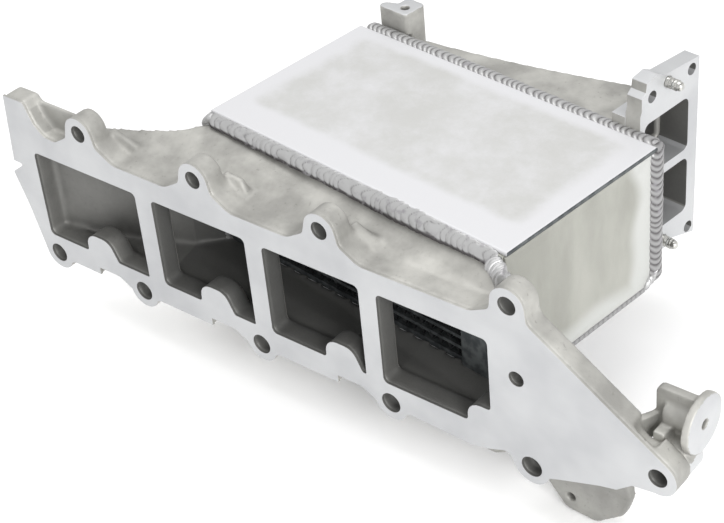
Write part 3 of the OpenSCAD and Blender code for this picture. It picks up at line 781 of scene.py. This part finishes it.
class MANIFOLD_OT_cooler_shell(bpy.types.Operator):
    """Top and bottom plates, coolant tank walls and the pressed right side of the cooler"""

    bl_idname = "manifold.cooler_shell"
    bl_label = "Cooler shell"

    def execute(self, context):
        def rise(u, v):
            # Rounded edge of radius 0.9 and a slow buckle of a tenth of a millimetre
            inset = np.minimum(np.minimum(u, 212 - u), np.minimum(v, 115.4 - v))
            edge = 0.9 - np.sqrt(np.maximum(0.81 - (0.9 - np.clip(inset, 0, 0.9)) ** 2, 0))
            return 57.8 - edge + 0.12 * (wave(3, u, 190.0) * wave(4, v, 150.0) - 1)

        mesh, u, v, rim = crowned_slab("top_sheet", (-75, 42.9), (137, 158.3), 55.4, rise, (120, 70), tilt)
        fade_u = np.clip(np.minimum(u - 4, 208 - u) / 14, 0, 1)
        fade_v = np.clip(np.minimum(v - 15, 112 - v) / 8, 0, 1)
        patch = fade_u * fade_v * (0.85 + 0.15 * wave(5, u + 0.6 * v, 90.0))
        note(mesh, "stain", np.concatenate([patch.ravel(), np.zeros(rim)]))
        place("top_sheet", mesh, ("sheet", "tubes"), ("top_plate",))
        # Painted shadow: the sheared edge above the side gets the dark core metal, for the shadow gap over
        # the side
        finish_faces(mesh, facing(mesh)[:, 0] > 0.6)

        piece = place_copy("bottom_sheet", "bottom_plate", ("sheet", "tubes"))
        # Painted shadow on the bottom sheet's edge over the side, in the dark core metal
        finish_faces(piece.data, facing(piece.data)[:, 0] > 0.6)
        edge_break(piece, 0.8)
        for side in ("right", "left"):
            piece = place_copy(
                side + "_tank_wall", side + "_coolant_tank", ("side", "tubes")
            )
            # Painted shade: the wall's front edge stands in the air way and gets the dark core metal
            finish_faces(piece.data, facing(piece.data)[:, 1] < -0.9)
            edge_break(piece, 1.0)

        # The side's sheet is pressed in: a flat border, a slope of three millimetres and a shallow dish
        dish = sizes().dish / MM

        def pressed(u, v):
            inset = np.minimum(np.minimum(u - 3, 109 - u), np.minimum(v - 5, 82 - v))
            step = np.clip(inset / 7, 0, 1)
            step = step * step * (3 - 2 * step)
            edge = np.clip(np.minimum(np.minimum(u, 113.4 - u), np.minimum(v, 83 - v)), 0, 0.6)
            rounded = 0.6 - np.sqrt(0.36 - (0.6 - edge) ** 2)
            return 136.2 - dish * step - rounded + 0.08 * wave(8, u, 60.0)

        def stand_up(points):
            return tilt(np.stack([points[:, 2], points[:, 0], points[:, 1]], axis=-1))

        mesh, u, v, rim = crowned_slab(
            "right_side_panel", (42.5, -28.5), (155.9, 54.5), 134.5, pressed, (90, 70), stand_up
        )
        warm = 0.55 * np.exp(-((u / 16) ** 2)) * np.exp(-(((v - 83) / 30) ** 2))
        note(mesh, "heat", np.concatenate([warm.ravel(), np.zeros(rim)]))
        # Painted highlight: the rim is brighter behind and below the dish, where the pressed border catches
        # the light, with a bowed border
        lit_border = np.maximum((u - 92 - 8 * wave(9, v, 120.0)) / 10, (16 + 7 * wave(10, u, 150.0) - v) / 12)
        note(mesh, "rim", np.concatenate([np.clip(lit_border, 0, 1).ravel(), np.zeros(rim)]))
        place("right_side_panel", mesh, ("side",))
        return {"FINISHED"}


class MANIFOLD_OT_cooler_core(bpy.types.Operator):
    """Finishes of the tubes, fins, headers and bars seen through the ports"""

    bl_idname = "manifold.cooler_core"
    bl_label = "Cooler core"

    def execute(self, context):
        for name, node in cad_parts.items():
            if name.startswith("fin_row") or name.endswith("header_plate"):
                kind = "fins"
            elif name.startswith("tube_") or name in ("core_floor_bar", "core_roof_bar"):
                kind = "tubes"
            else:
                continue
            node.data.materials.clear()
            node.data.materials.append(metal(kind))
        return {"FINISHED"}


class MANIFOLD_OT_welds(bpy.types.Operator):
    """Rippled weld beads round the cooler"""

    bl_idname = "manifold.welds"
    bl_label = "Weld beads"

    def execute(self, context):
        front, rear, depth = sizes().front_pitch / MM, sizes().rear_pitch / MM, sizes().ripple / MM

        def lay(name, path, side, out, size, pitch, lag, seed, deep=1.0, even=0.1, bright=1.0, **more):
            """Lays a bead in the cooler's frame: size is half width and height, deep scales the ripples."""
            path = np.array(path, float)
            side, out = (np.broadcast_to(np.array(way, float), path.shape) for way in (side, out))
            half_width, height = (np.broadcast_to(value, len(path)) for value in size)
            where = (tilt(path), tilt(side), tilt(out))
            form = (half_width, height, pitch, lag, depth * deep)
            mesh = bead(name, *where, *form, seed, even * bright, bright, **more)
            note(mesh, "heat", glow(coordinates(mesh), [(139, 22, 46, 11, 0.6), (151, 141, -29, 9, 0.5)]))
            # A bead stands for the CAD's weld, and a blob or a seam for nothing
            nodes = (name.replace("_bead", "_weld"),) if name.endswith("_bead") else ()
            place(name, mesh, ("weld",), nodes)

        # Front top bead: wide, flat and uneven, over the corner between the top sheet and the plenum's roof
        t = np.linspace(0, 1, 30)
        path = straight((-73.5, 40.4, 53.6), (133.0, 40.6, 53.0), 30)
        size = (4.2 + 1.2 * np.exp(-(((t - 0.7) / 0.17) ** 2)), 0.9 + 0.4 * t)
        finish = {"deep": 0.4, "even": 0.25, "irregular": 0.9, "sink": 4.5, "shade": 1.0}
        lay("front_top_bead", path, (0, 0.6, 0.8), (0, -0.8, 0.6), size, front, 5.0, 11, **finish)
        # The bead's left end runs down over the corner of the coolant tank
        path = [(-71, 42.5, 54.6), (-75, 42.5, 53.6), (-78.5, 42.8, 50.5), (-80.5, 42.6, 46)]
        finish = {"deep": 0.6, "even": 0.6, "irregular": 0.8, "sink": 4.0}
        lay("left_corner_blob", path, (0, 1, 0.2), (-0.5, -0.2, 0.8), (3.6, 2.0), 3.4, 2.0, 13, **finish)
        # Corner blob: the front bead's end runs out over the corner and down towards the last boss
        path = [(129, 38.6, 52.8), (133, 38, 52), (136, 37.8, 49.5), (137.4, 37.6, 45.5), (137.6, 37.2, 41)]
        out = [(0, -0.7, 0.7), (0.1, -0.7, 0.7), (0.5, -0.6, 0.6), (0.7, -0.6, 0.3), (0.7, -0.7, 0)]
        finish = {"deep": 0.9, "even": 0.3, "irregular": 1.0, "sink": 3.0}
        lay("corner_blob", path, (0.3, 0.8, 0.5), out, (4.6, 2.2), 3.2, 3.0, 15, **finish)
        # Rear top bead: even overlapping scales
        path = straight((-72, 162.0, 56.4), (134.5, 161.6, 56.0))
        finish = {"bright": 0.72, "irregular": 0.35}
        lay("rear_top_bead", path, (0, 1, 0), (0, 0, 1), (4.2, 2.1), rear, 2.8, 21, **finish)
        # Right rear bead: up the side and round the top corner
        corner = np.linspace(0, math.pi / 2, 9)[1:]
        cosine, sine = np.cos(corner), np.sin(corner)
        up = straight((135.2, 158.9, -27.5), (135.2, 158.9, 53.5), 30)
        over = np.stack([132.2 + 3.0 * cosine, 158.9 + 2.6 * sine, 53.5 + 2.6 * sine], axis=-1)
        path = np.concatenate([up, over])
        out = np.concatenate([np.tile([1.0, 0, 0], (30, 1)), np.stack([cosine, 0 * corner, sine], axis=-1)])
        finish = {"bright": 0.5, "irregular": 0.3}
        lay("rear_right_bead", path, (0, 1, 0), out, (5.5, 2.7), rear, 3.4, 31, **finish)
        # Blob where the upright bead ends at the bottom corner
        path = [(136.2, 158.6, -20), (136.6, 156, -22.5), (136.4, 152, -24.5), (135.8, 149, -25.5)]
        finish = {"even": 0.5, "irregular": 1.0, "sink": 2.5}
        lay("rear_corner_blob", path, (0, 0.5, 0.87), (1, 0, 0), (4.0, 1.9), 3.0, 2.0, 35, **finish)
        # Thin seam along the bottom edge of the side
        path = straight((136.2, 44, -27.9), (136.2, 150, -27.9))
        finish = {"deep": 0.08, "even": 0.6, "bright": 0.5, "irregular": 0.1, "sink": 1.5}
        lay("right_bottom_seam", path, (0, 0, 1), (1, 0, 0), (1.5, 0.7), rear, 0.5, 81, **finish)
        path = straight((-73.2, 158.9, -27.5), (-73.2, 158.9, 54.5))
        lay("rear_left_bead", path, (0, 1, 0), (-1, 0, 0), (5.0, 2.4), rear, 3.0, 41, irregular=0.3)
        # Front corners: narrow upright beads that start below the top bead
        for name, x, way in (("right", 136.0, 1), ("left", -74.0, -1)):
            path = straight((x, 41.6, -28), (x, 41.6, 47), 30)
            side, out = (way * 0.5, 0.87, 0), (way * 0.87, -0.5, 0)
            lay(f"front_{name}_bead", path, side, out, (3.2, 1.7), 3.4, 1.8, 51 + way, irregular=0.6)
        for name, y, half_width, lag, seed in (("front", 43, 2.6, 1.5, 61), ("rear", 160, 3.4, 1.8, 71)):
            path, size = straight((-70, y, -30), (132, y, -30)), (half_width, 1.3)
            lay(name + "_bottom_bead", path, (0, 1, 0), (0, 0, -1), size, rear, lag, seed, irregular=0.3)
        return {"FINISHED"}


class MANIFOLD_OT_inlet(bpy.types.Operator):
    """Inlet tank, milled inlet flange, tapped lug and dowels"""

    bl_idname = "manifold.inlet"
    bl_label = "Air inlet"

    def execute(self, context):
        mesh = merged_copy("inlet_tank_casting", "inlet_tank")
        # The slanting back is drawn in between its ends by a half sine of five millimetres
        bmesh_cut(mesh, 14)
        local = untilt(coordinates(mesh))
        run = np.clip((local[:, 0] + 73) / 176, 0, 1)
        share = np.clip((local[:, 1] - 163.8) / np.maximum(1 + 42 * run, 1), 0, 1)
        local[:, 1] -= 5.0 * np.sin(math.pi * run) * share
        move(mesh, tilt(local))
        piece = place("inlet_tank_casting", mesh, ("cast",), ("inlet_tank",))
        cast_form(piece, sizes().cast_cell / MM, TANK_ROUNDS)
        points = untilt(coordinates(piece.data))
        x, y, z = points.T
        nx, ny, nz = untilt(vertex_normals(piece.data)).T
        within = (y > 158) & (z > -27) & (z < 52) & (x > -71) & (x < 101) & (y < 204)
        # Painted shade on the inner skin, which looks down from the roof, up from the floor or forwards from
        # the back wall
        walls = (ny < 0.3) & ~((nx < -0.5) & (x < -60)) & ~((nx > 0.5) & (x > 95))
        inner = np.where(np.abs(nz) > 0.45, nz * (z - 12) < 0, walls)
        note(piece.data, "inside", np.where(within & inner, 1.0, 0))
        note(piece.data, "heat", (0.75 - 0.5 * np.clip((x + 20) / 110, 0, 1)) * (z > 50))
        piece = place_copy("tapped_lug_casting", "tapped_lug", ("cast", "milled"))
        cast_form(piece, sizes().fine_cell / MM, TANK_ROUNDS)
        centre, normal = face_centres(piece.data)
        finish_faces(piece.data, (centre[:, 2] > 67.8) & (normal[:, 2] > 0.9))

        piece = place_copy("milled_inlet_flange", "inlet_flange", ("cast", "milled"))
        around = facing(piece.data)
        finish_faces(piece.data, (around[:, 0] > 0.9) | (around[:, 2] > 0.5))
        points = untilt(coordinates(piece.data))
        window = (points[:, 1] > 173) & (points[:, 1] < 207) & (np.abs(points[:, 2] - 26) < 36)
        holes = np.zeros(len(points), bool)
        for y, z in ((174, 73.8), (207.3, 74.4), (172, -22.4), (207.3, -25.6)):
            holes |= np.hypot(points[:, 1] - y, points[:, 2] - z) < 4.6
        # Painted shade in the windows and the bolt holes
        note(piece.data, "inside", HOLE_SHADE * (window | holes))
        edge_break(piece, 0.5)

        # Dowel: a collar, a groove, a band and an ogive tip that narrows as a quarter sine
        tip = np.linspace(0, math.pi / 2, 8)
        profile = [(-7.0, 2.7), (-6.6, 3.0), (2.9, 3.0), (3.2, 2.5), (4.0, 2.5), (4.3, 3.0), (6.2, 3.0)]
        profile += [(6.4 + 3.1 * math.sin(a), 0.8 + 1.9 * math.cos(a) ** 0.8) for a in tip]
        axis = tilt(np.array([1.0, 0.0, 0.0]))
        for name, y, z in (("upper", 187.0, 76.5), ("lower", 184.8, -22.0)):
            centre = tilt(np.array([121.3, y, z]))
            mesh = lathe(name + "_dowel_pin", centre, axis, profile)
            place(name + "_dowel_pin", mesh, ("steel",), (name + "_dowel",))
        return {"FINISHED"}


class MANIFOLD_OT_coolant(bpy.types.Operator):
    """Coolant spigots and the rings of weld round them"""

    bl_idname = "manifold.coolant"
    bl_label = "Coolant spigots"

    def execute(self, context):
        for name in ("coolant_in", "coolant_out"):
            piece = place_copy(name + "_tube", name + "_spigot", ("side",))
            edge_break(piece, 0.6)
        meshes = bmesh.new()
        crest = []
        for y in (70.0, 126.0):
            turn = np.linspace(0, 2 * math.pi, 97)[:-1]
            ripple = np.abs(np.sin(turn * 10)) ** CREST_POWER
            section = np.linspace(0, 2 * math.pi, 17)[:-1]
            radius = 10.4 + 1.5 * np.cos(section)[None, :] * (1 + 0.06 * ripple[:, None])
            out = np.sin(section)[None, :] * (1.5 + 0.35 * ripple[:, None])
            cosine, sine = np.cos(turn)[:, None], np.sin(turn)[:, None]
            points = np.stack([-73.2 - out, y + radius * cosine, -8 + radius * sine], axis=-1)
            ring = mesh_of("ring", tilt(points), ring_faces(96, 16, closed_rows=True))
            meshes.from_mesh(ring)
            bpy.data.meshes.remove(ring)
            crest.append(np.repeat(ripple, 16))
        mesh = bpy.data.meshes.new("spigot_beads")
        meshes.to_mesh(mesh)
        meshes.free()
        note(mesh, "crest", np.concatenate(crest))
        place("spigot_beads", mesh, ("weld",), ("spigot_welds",))
        return {"FINISHED"}


class MANIFOLD_OT_stage(bpy.types.Operator):
    """Floor, soft studio lights and the camera"""

    bl_idname = "manifold.stage"
    bl_label = "Stage"

    def execute(self, context):
        scene = context.scene
        scene.view_settings.view_transform = "Standard"
        material, tree, space = blank("Matt studio floor")
        paper = grain(tree, space, 3.0)
        shade = ramp(tree, paper, 0.3, 0.7, palette().floor, linear("#FFFFFF"))
        shader = add(tree, "BsdfPrincipled", {"Base Color": shade}, Roughness=0.95)
        add(tree, "OutputMaterial", {"Surface": shader.outputs["BSDF"]})
        low = CAD_BOX[0][2] - 0.0005
        mesh = bpy.data.meshes.new("floor")
        mesh.from_pydata([(-6, -6, low), (6, -6, low), (6, 6, low), (-6, 6, low)], [], [(0, 1, 2, 3)])
        mesh.materials.append(material)
        floor = bpy.data.objects.new("floor", mesh)
        scene.collection.objects.link(floor)

        world = bpy.data.worlds.new("Soft studio")
        world.use_nodes = True
        background = world.node_tree.nodes["Background"]
        background.inputs["Color"].default_value = linear("#FFFFFF")
        background.inputs["Strength"].default_value = 0.84
        scene.world = world

        def softbox(name, at, aim, size, power):
            """Adds a rectangular area light that faces a point, with its power in watts."""
            lamp = bpy.data.lights.new(name, "AREA")
            lamp.shape = "RECTANGLE"
            lamp.size, lamp.size_y = size
            lamp.energy = power
            box = bpy.data.objects.new(name, lamp)
            box.rotation_euler = (Vector(at) - Vector(aim)).to_track_quat("Z", "Y").to_euler()
            box.location = at
            scene.collection.objects.link(box)

        softbox("overhead softbox", (-0.25, 0.25, 1.5), (0, 0.1, 0), (1.2, 1.0), 9.5)
        softbox("left softbox", (-1.2, -1.0, 0.9), (0, 0.05, 0), (1.0, 0.8), 0.8)
        softbox("right softbox", (1.5, -0.75, 0.75), (0.1, 0.05, 0), (0.9, 0.8), 24.0)

        # The camera looks down at the head face from the right
        looks = [
            (0.7796293817, 0.6207794932, -0.0825278616),
            (0.3162436386, -0.5040143900, -0.8037160293),
            (-0.5405256592, 0.6005017198, -0.5892619930),
        ]
        turn = np.eye(4)
        turn[:3, :3] = np.array(looks).T @ np.diag([1.0, -1.0, -1.0])
        turn[:3, 3] = (0.5530, -0.5321, 0.5660)
        lens = bpy.data.cameras.new("camera")
        lens.sensor_width = 36.0
        lens.lens = 90.75
        lens.clip_start, lens.clip_end = 0.05, 50.0
        camera = bpy.data.objects.new("camera", lens)
        camera.matrix_world = Matrix(turn.tolist())
        scene.collection.objects.link(camera)
        scene.camera = camera
        return {"FINISHED"}


OPERATORS = (
    MANIFOLD_OT_stage,
    MANIFOLD_OT_head_casting,
    MANIFOLD_OT_milled_face,
    MANIFOLD_OT_brackets,
    MANIFOLD_OT_cooler_shell,
    MANIFOLD_OT_cooler_core,
    MANIFOLD_OT_welds,
    MANIFOLD_OT_inlet,
    MANIFOLD_OT_coolant,
)


class MANIFOLD_PT_panel(bpy.types.Panel):
    """Sidebar panel with the manifold's pieces, sizes and colours"""

    bl_idname = "MANIFOLD_PT_panel"
    bl_label = "Intake manifold"
    bl_space_type = "VIEW_3D"
    bl_region_type = "UI"
    bl_category = "Manifold"

    def draw(self, context):
        for operator in OPERATORS:
            self.layout.operator(operator.bl_idname)
        for group in (context.scene.manifold_sizes, context.scene.manifold_colours):
            for key in group.bl_rna.properties.keys():
                if key not in ("rna_type", "name"):
                    self.layout.prop(group, key)


CLASSES = (ManifoldSizes, ManifoldColours, *OPERATORS, MANIFOLD_PT_panel)


def register():
    for item in CLASSES:
        bpy.utils.register_class(item)
    bpy.types.Scene.manifold_sizes = PointerProperty(type=ManifoldSizes)
    bpy.types.Scene.manifold_colours = PointerProperty(type=ManifoldColours)


def unregister():
    del bpy.types.Scene.manifold_colours
    del bpy.types.Scene.manifold_sizes
    for item in reversed(CLASSES):
        bpy.utils.unregister_class(item)


def main():
    register()
    for operator in OPERATORS:
        group, name = operator.bl_idname.split(".")
        getattr(getattr(bpy.ops, group), name)()
    bpy.context.view_layer.update()


if __name__ == "__main__":
    main()
